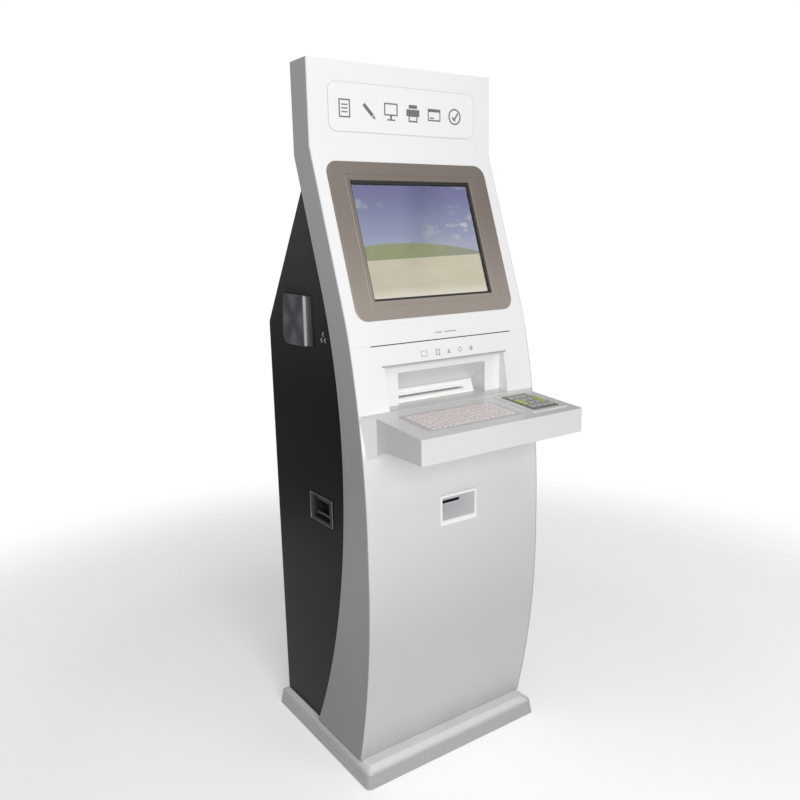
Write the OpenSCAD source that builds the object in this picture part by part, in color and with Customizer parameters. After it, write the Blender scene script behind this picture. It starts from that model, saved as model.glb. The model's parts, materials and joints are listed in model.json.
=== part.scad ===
// Self-service form-filling and printing terminal, free standing, with a sloped touch screen,
// a printed-form outlet above a keyboard shelf and a receipt outlet below it.
// Front faces -Y, the viewer's right is +X, +Z is up. Origin: middle of the plinth's underside.

/* [Overall size] */
// Height to the top of the header
total_h = 1700; // [1690:5:1715]
// Width over the two grey side bands
shell_w = 525; // [522:1:530]
// Width of the black cabinet
cabinet_w = 505; // [502:1:508]
// Distance from the plinth's centre back to the rear frame
rear_y = 215; // [213:1:218]
// Sheet metal thickness
sheet = 2; // [1.5:0.5:2.5]

/* [Plinth] */
// Plinth width at the floor
plinth_w = 549; // [545:1:555]
// Plinth depth at the floor
plinth_d = 477; // [475:1:485]
// Plinth height
plinth_h = 48; // [46:1:50]
// Radius of the four floor anchor holes
anchor_r = 6.5; // [5:0.5:8]
// Anchor hole spacing across
anchor_x = 400; // [360:10:420]
// Anchor hole spacing front to back
anchor_y = 320; // [280:10:340]

/* [Front profile] */
// Foremost point of the front, measured from the plinth's centre
front_y = -250; // [-252:1:-248]
// Front plane of the header
header_y = -57; // [-60:1:-54]
// Radius of the concave sweep down to the foot
foot_r = 2000; // [1900:50:2100]
// Radius of the sweep above the waist
waist_r = 2060; // [2000:20:2100]
// Radius of the short bend below the screen
bend_r = 800; // [700:50:900]
// Lean of the screen plane from the vertical
slope_a = 18.8; // [18:0.2:19.4]
// Rear plane of the header box
header_back = 16; // [14:1:18]

/* [Screen] */
// Bezel width
bezel_w = 462; // [455:1:470]
// Bezel height along the slope
bezel_h = 374; // [368:1:378]
// Visible display width
display_w = 338; // [330:1:342]
// Visible display height
display_h = 270; // [264:1:274]

/* [Shelf] */
// Shelf width at its front
shelf_w = 468; // [460:2:472]
// Front face of the shelf
shelf_front = -425; // [-430:1:-415]
// Height of the shelf's front top edge
shelf_top_z = 910; // [905:1:912]
// Height of the shelf's underside
shelf_low_z = 854; // [850:1:858]
// Fall of the shelf top towards the user
shelf_a = 5; // [4.5:0.1:5.5]

/* [Keys] */
// Keyboard columns
key_cols = 16; // [14:1:16]
// Keyboard column pitch
key_px = 15; // [14.6:0.1:15]
// Keyboard row pitch
key_py = 17; // [16.6:0.1:17]
// Key travel
key_travel = 1.5; // [1:0.1:2]

/* [Document outlet] */
// Width of the niche
niche_w = 262; // [258:1:266]
// Width of the paper slot
slot_w = 212; // [210:1:212]

/* [Receipt outlet] */
// Width of the receipt recess
receipt_w = 100; // [90:2:104]
// Lower edge of the receipt recess
receipt_z = 637; // [632:1:642]
// Height of the receipt recess
receipt_h = 63; // [58:1:66]

/* [Hidden] */

white = [0.93, 0.93, 0.93];
silver = [0.78, 0.79, 0.78];
band_grey = [0.56, 0.56, 0.57];
charcoal = [0.20, 0.20, 0.21];
steel = [0.72, 0.73, 0.75];
dark = [0.10, 0.10, 0.11];

$fn = 48;
side_x = cabinet_w/2;            // outer face of the black cabinet
band_x = shell_w/2;              // outer face of the bands
skin_x = band_x - sheet;         // half width of the front skins
waist_z = [555, 630];            // straight stretch of the front
bend_z = 1060;                   // height where the short bend starts
fascia_z = 1075;                 // seam below the screen
panel_z = 838;                   // seam hidden behind the shelf
shoulder_z = 1103;               // where the rear starts to slope
apex_z = 1440;                   // where the rear slope meets the header
slack = 0.4;                     // gap between neighbouring pieces that move apart

function reversed(v) = [for (i = [len(v) - 1:-1:0]) v[i]];
function arc(c, r, a0, a1, n, skip = 0) =
    [for (i = [skip:n]) let (a = a0 + (a1 - a0)*i/n) c + r*[cos(a), sin(a)]];

// Front profile in the YZ plane, moved inwards by t
foot_c = [front_y + foot_r, waist_z[0]];
waist_c = [front_y + waist_r, waist_z[1]];
waist_a = 180 - asin((bend_z - waist_z[1])/waist_r);
bend_c = waist_c + (waist_r - bend_r)*[cos(waist_a), sin(waist_a)];
slope_end_a = 180 - slope_a;
function slope_foot(t) = bend_c + (bend_r - t)*[cos(slope_end_a), sin(slope_end_a)];
function kink(t) = let (p = slope_foot(t), y = header_y + t) [y, p[1] + (y - p[0])/tan(slope_a)];
function front_line(t) = concat(
    arc(foot_c, foot_r - t, 180 + asin((waist_z[0] - plinth_h)/(foot_r - t)), 180, 14),
    arc(waist_c, waist_r - t, 180, waist_a, 12),
    arc(bend_c, bend_r - t, waist_a, slope_end_a, 4, 1),
    [kink(t), [header_y + t, total_h]]);
function slope_y(z) = slope_foot(0)[0] + (z - slope_foot(0)[1])*tan(slope_a);
function waist_y(z) = waist_c[0] - sqrt(pow(waist_r, 2) - pow(z - waist_z[1], 2));

// Rear edge of the side bands, moved inwards by t
band_waist = [-152, 790];
band_low_r = 1640;
band_top_r = 1300;
band_low_c = band_waist + [band_low_r, 0];
band_top_c = band_waist + [band_top_r, 0];
function band_end(t) = band_top_c + (band_top_r + t)*[cos(slope_end_a), sin(slope_end_a)];
function band_y(z, t) = band_end(t)[0] + (z - band_end(t)[1])*tan(slope_a);
function band_kink(t) = let (p = band_end(t), y = header_back - t) [y, p[1] + (y - p[0])/tan(slope_a)];
function band_rear(t) = concat(
    arc(band_low_c, band_low_r + t, 180 + asin((band_waist[1] - plinth_h)/(band_low_r + t)), 180, 16),
    arc(band_top_c, band_top_r + t, 180, slope_end_a, 10, 1),
    [band_kink(t), [header_back - t, total_h]]);

// Rear outline of the cabinet, moved inwards by t
apex_y = band_y(apex_z, 0);
rear_a = atan((rear_y - apex_y)/(apex_z - shoulder_z));
function shoulder(t) = [rear_y - t, shoulder_z - t*tan(rear_a/2)];
function apex(t) = [apex_y - t/cos(rear_a), apex_z];

// Puts a YZ outline into space, from x0 to x1
module along_x(x0, x1) {
    translate([x0, 0, 0]) rotate([90, 0, 90]) linear_extrude(x1 - x0) children();
}
// Puts an XZ outline into space, from y0 to y1
module along_y(y0, y1) {
    translate([0, y1, 0]) rotate([90, 0, 0]) linear_extrude(y1 - y0) children();
}
module block(x0, x1, y0, y1, z0, z1) {
    translate([x0, y0, z0]) cube([x1 - x0, y1 - y0, z1 - z0]);
}
module rect(x0, x1, y0, y1) {
    translate([x0, y0]) square([x1 - x0, y1 - y0]);
}
module round_rect(w, h, r) {
    square([w - 2*r, h], center = true);
    square([w, h - 2*r], center = true);
    for (x = [-1, 1], y = [-1, 1]) translate([x*(w/2 - r), y*(h/2 - r)]) circle(r);
}
module screw(r) {
    cylinder(r = r, h = 1.6);
}

// Local frames: z points out of the surface, y up along it
screen_z = 1305.5;
module on_slope() {
    translate([0, slope_y(screen_z), screen_z]) rotate([90 - slope_a, 0, 0]) children();
}
module on_shelf() {
    translate([0, shelf_front, shelf_top_z]) rotate([shelf_a, 0, 0]) children();
}
module on_waist(z) {
    translate([0, waist_y(z), z]) rotate([90 - asin((z - waist_z[1])/waist_r), 0, 0]) children();
}

module front_area(t) {
    polygon(concat(front_line(t), [[400, total_h], [400, plinth_h]]));
}
module front_skin(z0, z1) {
    intersection() {
        polygon(concat(front_line(0), reversed(front_line(sheet))));
        rect(-400, 400, z0, z1);
    }
}

// ---- Plinth and floor ----
plinth_edge = 38;   // height where the plinth's ledge starts
draft = 5;          // the plinth's sides lean in by this much
foot_back = 25;     // width of the sloping ledge
module plinth_profile(w) {
    polygon([[-w/2, 0], [w/2, 0], [w/2 - draft, plinth_edge], [w/2 - foot_back, plinth_h],
        [foot_back - w/2, plinth_h], [draft - w/2, plinth_edge]]);
}
module plinth_solid(t) {
    intersection() {
        along_x(-300, 300) plinth_inset(plinth_d, t);
        along_y(-300, 300) plinth_inset(plinth_w, t);
        translate([0, 0, -1]) linear_extrude(plinth_h + 2)
            round_rect(plinth_w - 2*t, plinth_d - 2*t, 14 - t);
    }
}
module plinth_inset(w, t) {
    translate([0, -t]) plinth_profile(w - 2*t);
}
module plinth() {
    color(silver) difference() {
        plinth_solid(0);
        translate([0, 0, -3]) plinth_solid(3);
        block(-180, 180, -120, 150, 20, 60);
    }
}
module base_plate() {
    color(steel) difference() {
        block(-262, 262, -226, 226, 0, 4);
        for (x = [-1, 1], y = [-1, 1])
            translate([x*anchor_x/2, y*anchor_y/2, -1]) cylinder(r = anchor_r, h = 6);
        block(-170, 170, -110, 140, -1, 5);
    }
}
module cabinet_floor() {
    color(steel) difference() {
        block(-side_x + sheet, side_x - sheet, -180, rear_y - sheet, plinth_h, plinth_h + sheet);
        translate([0, 60, plinth_h - 1]) cylinder(r = 25, h = sheet + 2);
        for (i = [0:7]) block(90, 200, -140 + 14*i, -134 + 14*i, plinth_h - 1, plinth_h + 5);
    }
}
post_y = [-160, 140];
module inner_frame() {
    color(steel) for (x = [-1, 1], y = post_y) {
        mirror([x < 0 ? 1 : 0, 0, 0]) difference() {
            block(226, side_x - sheet, y, y + 24, plinth_h + sheet, 1090);
            block(225, side_x - 2*sheet, y + sheet, y + 25, plinth_h, 1100);
        }
    }
    color(steel) for (x = [-1, 1]) mirror([x < 0 ? 1 : 0, 0, 0])
        block(228, side_x - 2*sheet, post_y[0] + 24, post_y[1], 846, 860);
    color(steel) block(-side_x + 2*sheet, side_x - 2*sheet, -132, 136, 860, 862);
    color(steel) on_slope() for (y = [-120, 120])
        translate([0, y, -glass_in - 47]) cube([2*(side_x - sheet), 26, 4], center = true);
}

// ---- Cabinet sides ----
handle_y = [-82, 28];
handle_z = [620, 690];
module side_area(t) {
    intersection() {
        front_area(t);
        polygon([[-300, plinth_h], [rear_y - t, plinth_h], shoulder(t), apex(t), [-300, apex_z]]);
    }
}
module left_side_panel() {
    color(charcoal) along_x(-side_x, sheet - side_x) difference() {
        side_area(sheet);
        rect(handle_y[0] + 5, handle_y[1] - 5, handle_z[0] + 5, handle_z[1] - 5);
        rect(10, 90, 1080, 1160);
    }
}
module right_side_panel() {
    color(charcoal) along_x(side_x - sheet, side_x) side_area(sheet);
}
module side_band(x0, x1, cut0, cut1) {
    difference() {
        along_x(x0, x1) polygon(concat(front_line(0), reversed(band_rear(0))));
        along_x(cut0, cut1) polygon(concat([front_line(0)[0] + [-5, -5]], front_line(-0.5),
            [[header_y, total_h + 5], [header_back - sheet, total_h + 5]], reversed(band_rear(sheet)),
            [[band_rear(sheet)[0][0], plinth_h - 5]]));
    }
}
module left_side_band() {
    color(band_grey) side_band(-band_x, -side_x, -skin_x, 1 - side_x);
}
module right_side_band() {
    color(band_grey) side_band(side_x, band_x, side_x - 1, skin_x);
}

// ---- Front skins ----
screen_open = [440, 352];
module upper_fascia() {
    color(white) difference() {
        along_x(-skin_x, skin_x) front_skin(fascia_z, total_h);
        on_slope() translate([0, 0, -20]) linear_extrude(40) round_rect(screen_open[0], screen_open[1], 20);
        for (i = indicators) on_waist(indicator_z) block(i[0], i[1], -1.5, 1.5, -6, 6);
    }
}
recess_w = 356;
recess_y = -195;
recess_z = [926, 1024.5];
module middle_fascia() {
    color(white) difference() {
        along_x(-skin_x, skin_x) front_skin(panel_z, fascia_z);
        block(-recess_w/2, recess_w/2, -300, -150, recess_z[0], recess_z[1]);
        block(-208, 208, -300, waist_y(fascia_z) + 1.2, fascia_z - 2.4, fascia_z + 1);
        block(-60, 60, -300, -150, 865, 900);
    }
}
module lower_front_panel() {
    color(silver) difference() {
        along_x(-skin_x, skin_x) front_skin(plinth_h, panel_z);
        block(-receipt_w/2 - 3, receipt_w/2 + 3, -300, -150, receipt_z - 3, receipt_z + receipt_h + 3);
    }
}

// ---- Header and rear ----
module header_cover() {
    color(white) {
        along_x(-side_x, side_x) intersection() {
            polygon(concat(band_rear(0), reversed(band_rear(sheet))));
            rect(-100, 100, apex_z, total_h);
        }
        block(-skin_x, skin_x, header_y + sheet, header_back - sheet, total_h - sheet, total_h);
    }
}
module rear_slope_panel() {
    color(charcoal) difference() {
        along_x(-side_x, side_x) polygon([shoulder(0), apex(0), apex(sheet), shoulder(sheet)]);
        for (x = [-110, 110], i = [0:9])
            block(x - 70, x + 70, -50, 250, 1190 + 14*i, 1195 + 14*i);
    }
}
door_x = 240;
door_z = [110, 1015];
door_y = rear_y + 0.5;
open_x = 222;
open_z = [128, 1000];
inlet = [150, 86];
gland = [60, 86];
gland_r = 11;
module rear_frame() {
    color(charcoal) difference() {
        block(-side_x, side_x, rear_y - sheet, rear_y, plinth_h, shoulder_z - 1);
        block(-open_x, open_x, rear_y - 10, rear_y + 10, open_z[0], open_z[1]);
        block(inlet[0] - 24, inlet[0] + 42, rear_y - 10, rear_y + 10, inlet[1] - 15, inlet[1] + 15);
        translate([gland[0], rear_y + 5, gland[1]]) rotate([90, 0, 0]) cylinder(r = gland_r, h = 20);
    }
}
hinge_x = 246;
hinge_y = rear_y + 7;
hinge_zs = [230, 880];
knuckle_r = 5;
pin_r = 2.5;
lock_x = -205;
lock_z = 560;
lock_r = 11;
fan_z = 560;
module rear_door() {
    color(charcoal) difference() {
        union() {
            block(-door_x, door_x, door_y, door_y + 3, door_z[0], door_z[1]);
            for (z = hinge_zs) {
                translate([hinge_x, hinge_y, z - 15]) cylinder(r = knuckle_r, h = 30);
                block(200, hinge_x, door_y + 3, door_y + 5, z - 15, z + 15);
            }
            translate([lock_x, door_y + 6, lock_z]) rotate([90, 0, 0]) cylinder(r = 17, h = 12);
        }
        block(-230, 230, door_y - 1, door_y + 1, door_z[0] + 10, lock_z - 30);
        block(-230, 230, door_y - 1, door_y + 1, lock_z + 30, door_z[1] - 10);
        for (z = hinge_zs) translate([hinge_x, hinge_y, z - 20]) cylinder(r = pin_r + 0.05, h = 40);
        translate([lock_x, door_y + 20, lock_z]) rotate([90, 0, 0]) cylinder(r = lock_r + 0.05, h = 60);
        for (i = [0:11]) block(-150, 150, 200, 230, 160 + 14*i, 166 + 14*i);
        for (i = [-6:6]) let (w = sqrt(pow(56, 2) - pow(8*i, 2)))
            block(-w, w, 200, 230, fan_z + 8*i - 2.5, fan_z + 8*i + 2.5);
    }
}
module door_hinges() {
    color(steel) for (z = hinge_zs) {
        translate([hinge_x, hinge_y, z - 35]) cylinder(r = pin_r, h = 70);
        for (s = [-35, 15 + slack]) difference() {
            union() {
                translate([hinge_x, hinge_y, z + s]) cylinder(r = knuckle_r, h = 20 - slack);
                block(242, side_x, rear_y, rear_y + 4, z + s, z + s + 20 - slack);
            }
            translate([hinge_x, hinge_y, z + s - 1]) cylinder(r = pin_r, h = 22);
        }
    }
}
module door_lock() {
    color(steel) {
        translate([lock_x, door_y + 9, lock_z]) rotate([90, 0, 0]) cylinder(r = lock_r, h = 26);
        translate([lock_x, door_y + 11, lock_z]) rotate([90, 0, 0]) difference() {
            cylinder(r = 16, h = 4);
            translate([-1, -6, -1]) cube([2, 12, 2.5]);
        }
        block(lock_x - 6, lock_x + 6, door_y + 11, door_y + 17, lock_z - 44, lock_z + 8);
        block(lock_x - 6, lock_x + 6, door_y - 20, door_y - 17, lock_z - 34, lock_z + 9);
    }
}
module panel_screws() {
    color(steel) {
        for (x = [-235, 235], z = [1060, 60]) translate([x, rear_y, z]) rotate([-90, 0, 0]) screw(4);
        for (x = [-235, -80, 80, 235], z = [1130, 1400])
            translate([x, rear_y - (z - shoulder_z)*tan(rear_a), z]) rotate([rear_a - 90, 0, 0]) screw(4);
        for (x = [-235, 235], z = [1530, 1680])
            translate([x, header_back, z]) rotate([-90, 0, 0]) screw(4);
    }
}

// ---- Sign ----
sign_z = 1602;
module sign_panel() {
    color([0.96, 0.96, 0.96]) along_y(header_y - 1, header_y) translate([0, sign_z]) round_rect(420, 106, 20);
}
module ring2d(r, t) {
    difference() {
        circle(r);
        circle(r - t);
    }
}
module page2d(w, h) {
    difference() {
        square([w, h], center = true);
        square([w - 6, h - 6], center = true);
    }
    for (y = [-6, 2, 10]) translate([0, y - 2]) square([w - 14, 2.6], center = true);
}
// Generic pictograms: form, pen, screen, printer, card, tick
module pictogram(i) {
    if (i == 0) page2d(30, 40);
    if (i == 1) rotate(45) {
        square([8, 34], center = true);
        translate([0, -17]) rotate(180) polygon([[-4, 2], [4, 2], [0, 11]]);
    }
    if (i == 2) {
        difference() {
            translate([0, 5]) square([38, 28], center = true);
            translate([0, 5]) square([32, 22], center = true);
        }
        translate([0, -14]) square([5, 10], center = true);
        translate([0, -18.5]) square([22, 3], center = true);
    }
    if (i == 3) {
        translate([0, 1]) square([38, 15], center = true);
        translate([0, 15]) square([24, 8], center = true);
        difference() {
            translate([0, -13]) square([26, 14], center = true);
            translate([0, -12]) square([20, 9], center = true);
        }
    }
    if (i == 4) {
        difference() {
            square([38, 28], center = true);
            translate([0, -2]) square([33, 18], center = true);
        }
        translate([-7, -7]) square([12, 3], center = true);
    }
    if (i == 5) {
        ring2d(19, 3.4);
        translate([-3, -6]) rotate(45) square([4, 12], center = true);
        translate([4, 0]) rotate(-35) square([4, 22], center = true);
    }
}
module sign_pictograms() {
    color([0.45, 0.45, 0.47]) along_y(header_y - 1.6, header_y - 1)
        for (i = [0:5]) translate([-168 + 63.5*i, sign_z - 3]) pictogram(i);
}
indicator_z = 1090;
indicators = [[-24, -4], [4, 37]];
mark_z = 1045;
mark_xs = [-65, -25, 8, 42, 76];
module fascia_marks() {
    color([0.35, 0.35, 0.36]) {
        for (i = indicators) on_waist(indicator_z) block(i[0] + 0.1, i[1] - 0.1, -1.4, 1.4, -1.5, 0.2);
        on_waist(mark_z) translate([0, 0, 0.05]) linear_extrude(0.35) {
            translate([mark_xs[0], 0]) difference() {
                square([18, 14], center = true);
                square([15, 11], center = true);
            }
            translate([mark_xs[1], 0]) page2d(12, 15);
            translate([mark_xs[2], 0]) polygon([[-6, -6], [6, -6], [0, 6]]);
            translate([mark_xs[3], 0]) ring2d(6, 2);
            translate([mark_xs[4], 0]) rotate(45) square([9, 9], center = true);
        }
    }
}

// ---- Screen ----
glass_in = 8;     // depth of the glass below the fascia
module screen_slab(w, h, z0, z1) {
    translate([-w/2, -h/2, z0]) cube([w, h, z1 - z0]);
}
module screen_bezel() {
    color([0.55, 0.52, 0.48]) on_slope() difference() {
        union() {
            linear_extrude(2.5) round_rect(bezel_w, bezel_h, 30);
            translate([0, 0, -glass_in]) linear_extrude(glass_in)
                round_rect(screen_open[0] - 2, screen_open[1] - 2, 19);
        }
        screen_slab(display_w + 11, display_h + 15, -glass_in - 1, 4);
    }
}
module screen_gasket() {
    color(dark) on_slope() difference() {
        screen_slab(display_w + 10.6, display_h + 14.6, -glass_in, 3.5 - glass_in);
        screen_slab(display_w + 2, display_h + 3, -glass_in - 1, 4.5 - glass_in);
    }
}
module touch_glass() {
    color([0.8, 0.9, 0.95, 0.3]) on_slope()
        screen_slab(display_w + 24, display_h + 26, -glass_in - 3, -glass_in);
}
module lcd_panel() {
    color([0.35, 0.45, 0.75]) on_slope()
        screen_slab(display_w, display_h, -glass_in - 5, -glass_in - 3);
}
module lcd_module() {
    color(steel) on_slope() difference() {
        screen_slab(display_w + 30, display_h + 34, -glass_in - 45, -glass_in - 3);
        screen_slab(display_w + 0.2, display_h + 0.2, -glass_in - 5, -glass_in);
        screen_slab(display_w + 26, display_h + 30, -glass_in - 43, -glass_in - 7);
        translate([0, -90, -glass_in - 50]) cube([120, 30, 20], center = true);
    }
}

// ---- Document outlet ----
module recess_panel() {
    color(white) intersection() {
        along_x(-300, 300) front_area(sheet);
        union() {
            difference() {
                block(-180, 180, recess_y, recess_y + sheet, 905, recess_z[1] + sheet);
                block(-niche_w/2, niche_w/2, recess_y - 5, recess_y + 5, 922, 1006);
            }
            for (x = [-recess_w/2 - sheet, recess_w/2])
                block(x, x + sheet, -260, recess_y, 905, recess_z[1] + sheet);
            block(-recess_w/2, recess_w/2, -260, recess_y, recess_z[1], recess_z[1] + sheet);
        }
    }
}
niche_back = -143;
niche_top = [1006, 957];
function shelf_z(y) = shelf_top_z + (y - shelf_front)*tan(shelf_a);
land_back = shelf_z(niche_back);
module niche_liner() {
    x = niche_w/2;
    color([0.86, 0.86, 0.86]) {
        for (s = [-x - sheet, x]) along_x(s, s + sheet)
            polygon([[recess_y + sheet, 924], [niche_back + sheet, 924],
                [niche_back + sheet, niche_top[1] + sheet], [recess_y + sheet, niche_top[0] + sheet]]);
        along_x(-x, x) polygon([[recess_y + sheet, niche_top[0] - 1.8], [niche_back, niche_top[1]],
            [niche_back + sheet, niche_top[1] + sheet], [recess_y + sheet, niche_top[0] + sheet]]);
        difference() {
            block(-x, x, niche_back, niche_back + sheet, land_back, niche_top[1]);
            block(slot_mid - slot_w/2, slot_mid + slot_w/2, niche_back - 5, niche_back + 5, 937, 950);
        }
    }
}
module landing_plate() {
    color([0.80, 0.79, 0.76]) intersection() {
        along_x(-300, 300) intersection() {
            front_area(sheet);
            polygon([[-300, shelf_z(-300) - sheet], [niche_back, land_back - sheet],
                [niche_back, land_back], [-300, shelf_z(-300)]]);
        }
        linear_extrude(1000) {
            rect(-recess_w/2, recess_w/2, -260, recess_y);
            rect(-niche_w/2, niche_w/2, recess_y, niche_back);
        }
    }
}
slot_mid = -24;
slot_z = 942;
bezel_front = -184;
module printer_bezel() {
    z0 = land_back + 0.2;
    front_z = shelf_z(bezel_front) + 0.2;
    color([0.95, 0.95, 0.94]) difference() {
        intersection() {
            along_x(-niche_w/2 + 0.5, niche_w/2)
                polygon([[bezel_front, front_z], [niche_back - 0.2, z0], [niche_back - 0.2, niche_top[1] - 1],
                    [niche_back - 4, niche_top[1] - 1], [bezel_front, front_z + 3.5]]);
            linear_extrude(1200) polygon([[-niche_w/2 + 0.5, -200], [104, -200], [104, bezel_front],
                [128, niche_back], [-niche_w/2 + 0.5, niche_back]]);
        }
        block(slot_mid - slot_w/2 + 0.6, slot_mid + slot_w/2, -200, -100, slot_z - 2.5, slot_z + 2.5);
        along_x(-niche_w/2 + 8, 100) polygon([[-158, 960], [-158, 950.5], [-154, 948.5], [-154, 960]]);
    }
}
module document_printer() {
    color([0.30, 0.30, 0.32]) difference() {
        block(-190, 190, -130, 132, 862, 1080);
        block(-182, 182, -122, 124, 870, 1072);
        block(slot_mid - slot_w/2, slot_mid + slot_w/2, -140, -60, 936, 952);
    }
}

// ---- Receipt outlet ----
chute_back = -216;
chute_w = 62;
chute_z = [668, 692];
module receipt_funnel() {
    top = receipt_z + receipt_h;
    intersection() {
        along_x(-100, 100) polygon([[-260, receipt_z - 2], [chute_back, chute_z[0]], [chute_back, chute_z[1]],
            [-250, top], [-260, top]]);
        linear_extrude(900) polygon([[-receipt_w/2, -260], [receipt_w/2, -260], [receipt_w/2, -249],
            [chute_w/2, chute_back], [-chute_w/2, chute_back], [-receipt_w/2, -249]]);
    }
}
module receipt_bezel() {
    mid = receipt_z + receipt_h/2;
    color([0.88, 0.88, 0.88]) difference() {
        union() {
            difference() {
                along_y(front_y - 2, front_y + 4) translate([0, mid])
                    round_rect(receipt_w + 12, receipt_h + 12, 3);
                along_x(-100, 100) front_area(0);
            }
            block(-receipt_w/2 - 2.5, receipt_w/2 + 2.5, front_y - 1, chute_back + sheet,
                receipt_z - 2.5, receipt_z + receipt_h + 2.5);
        }
        receipt_funnel();
        block(-chute_w/2, chute_w/2, -220, -200, 671, 679);
    }
}
roll_c = [-115, 690];
roll_r = 40;
spindle_r = 6;
module receipt_printer() {
    color([0.25, 0.25, 0.27]) {
        difference() {
            block(-52, 52, chute_back + sheet, -162, 632, 730);
            block(-chute_w/2, chute_w/2, -220, -180, 671, 679);
        }
        block(-52, 52, -162, -60, 632, 640);
        for (x = [-50, 46]) block(x, x + 4, -162, -60, 640, 710);
        translate([-50, roll_c[0], roll_c[1]]) rotate([0, 90, 0]) cylinder(r = spindle_r, h = 100);
        for (x = [-1, 1]) mirror([x < 0 ? 1 : 0, 0, 0]) block(50, side_x - sheet, -105, -85, 632, 640);
    }
}
module paper_roll() {
    color([0.96, 0.96, 0.94]) translate([-40, roll_c[0], roll_c[1]]) rotate([0, 90, 0]) difference() {
        cylinder(r = roll_r, h = 80);
        translate([0, 0, -1]) cylinder(r = spindle_r + 0.06, h = 82);
    }
}

// ---- Shelf ----
flare_r = 31;
under_c = [-310, shelf_low_z - 105];
under_r = 105;
module shelf_plan(t) {
    x = shelf_w/2 - t;
    c = [shelf_w/2 + flare_r, -262];
    right = concat(arc([x - 3, shelf_front + t + 3], 3, 270, 360, 4),
        arc(c, flare_r + t, 180, 90 + acos(0.12), 8), [[min(c[0], band_x - t), -228], [band_x - t, -150]]);
    polygon(concat(right, [for (p = reversed(right)) [-p[0], p[1]]]));
}
module shelf_side(t) {
    polygon(concat([[shelf_front + t, shelf_top_z - t]],
        [[shelf_front + t, shelf_low_z + (t > 0 ? -20 : 0)]],
        t > 0 ? [[-150, shelf_low_z - 60]] : arc(under_c, under_r, 90, 40, 10),
        [[-150, shelf_z(-150) - t]]));
}
key_mid = [-55, 94];
pin_mid = [159.5, 99.5];
module shelf_shell() {
    color(silver) difference() {
        intersection() {
            translate([0, 0, 780]) linear_extrude(200) shelf_plan(0);
            along_x(-300, 300) shelf_side(0);
        }
        intersection() {
            translate([0, 0, 700]) linear_extrude(300) shelf_plan(2.5);
            along_x(-300, 300) shelf_side(2.5);
        }
        along_x(-300, 300) front_area(0);
        on_shelf() translate([key_mid[0], key_mid[1], 0]) cube([254, 112, 40], center = true);
        on_shelf() translate([pin_mid[0], pin_mid[1], 0]) cube([94, 126, 40], center = true);
    }
}
module shelf_floor() {
    color(silver) intersection() {
        translate([0, 0, 700]) linear_extrude(300) shelf_plan(2.7);
        along_x(-300, 300) difference() {
            polygon(concat([[shelf_front + 2.7, shelf_low_z]], arc(under_c, under_r, 90, 42, 10),
                reversed(arc(under_c, under_r + sheet, 90, 42, 10)),
                [[shelf_front + 2.7, shelf_low_z + sheet]]));
            front_area(0);
        }
    }
}

// ---- Keyboard ----
key_w = key_px - 2.6;
key_h = key_py - 2.8;
key_gap = 0.4;
function key_x(c) = key_mid[0] + key_px*(c - (key_cols - 1)/2);
function key_y(r) = key_mid[1] + key_py*(3.5 - r);
space_cols = [4, 9];
space_x = (key_x(space_cols[0]) + key_x(space_cols[1]))/2;
space_w = key_px*(space_cols[1] - space_cols[0]) + key_w;
module key_hole(x, y, w, h) {
    translate([x, y, 0]) cube([w + 2*key_gap, h + 2*key_gap, 10], center = true);
}
module key_cap(x, y, w, h, top) {
    translate([x - w/2, y - h/2, -5.6]) cube([w, h, 5.6 + top]);
    translate([x - w/2 - 0.9, y - h/2 - 0.9, -5.6]) cube([w + 1.8, h + 1.8, 1.2]);
}
module keyboard_plate() {
    color([0.80, 0.78, 0.77]) on_shelf() difference() {
        union() {
            translate([key_mid[0], key_mid[1], 0]) linear_extrude(0.8) round_rect(264, 122, 4);
            translate([key_mid[0], key_mid[1], -7]) cube([252, 110, 14], center = true);
        }
        translate([key_mid[0], key_mid[1], -8]) cube([246, 105, 8], center = true);
        for (r = [1:5], c = [0:key_cols - 1]) key_hole(key_x(c), key_y(r), key_w, key_h);
        for (c = [0:key_cols - 1])
            if (c < space_cols[0] || c > space_cols[1]) key_hole(key_x(c), key_y(6), key_w, key_h);
        key_hole(space_x, key_y(6), space_w, key_h);
    }
}
module key_row(r) {
    color([0.85, 0.82, 0.81]) on_shelf() for (c = [0:key_cols - 1])
        if (r < 6 || c < space_cols[0] || c > space_cols[1]) key_cap(key_x(c), key_y(r), key_w, key_h, 2.3);
}
module space_bar() {
    color([0.85, 0.82, 0.81]) on_shelf() key_cap(space_x, key_y(6), space_w, key_h, 2.3);
}

// ---- PIN pad ----
pin_px = 18.5;
pin_py = 24;
pin_w = 14.5;
pin_h = 16;
pin_top = 3;
function pin_x(c) = pin_mid[0] + pin_px*(c - 1.5);
function pin_y(r) = pin_mid[1] + pin_py*(2.5 - r);
module pin_pad_surround() {
    color([0.84, 0.84, 0.82]) on_shelf() translate([pin_mid[0], pin_mid[1], 0]) difference() {
        union() {
            linear_extrude(2.5) round_rect(112, 143, 5);
            translate([0, 0, -3]) cube([93, 125, 6], center = true);
        }
        cube([82, 113, 40], center = true);
    }
}
module pin_pad_body() {
    color([0.30, 0.31, 0.32]) on_shelf() difference() {
        translate([pin_mid[0], pin_mid[1], -10 + pin_top/2]) cube([81, 112, 20 + pin_top], center = true);
        for (r = [1:4], c = [0:3]) translate([0, 0, pin_top]) key_hole_cut(pin_x(c), pin_y(r), pin_w, pin_h);
        for (c = [0, 3]) translate([0, 0, pin_top]) key_hole_cut(pin_x(c), pin_y(2.5), pin_w, pin_h + pin_py);
    }
}
module key_hole_cut(x, y, w, h) {
    translate([x - w/2 - key_gap, y - h/2 - key_gap, -9]) cube([w + 2*key_gap, h + 2*key_gap, 20]);
}
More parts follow.
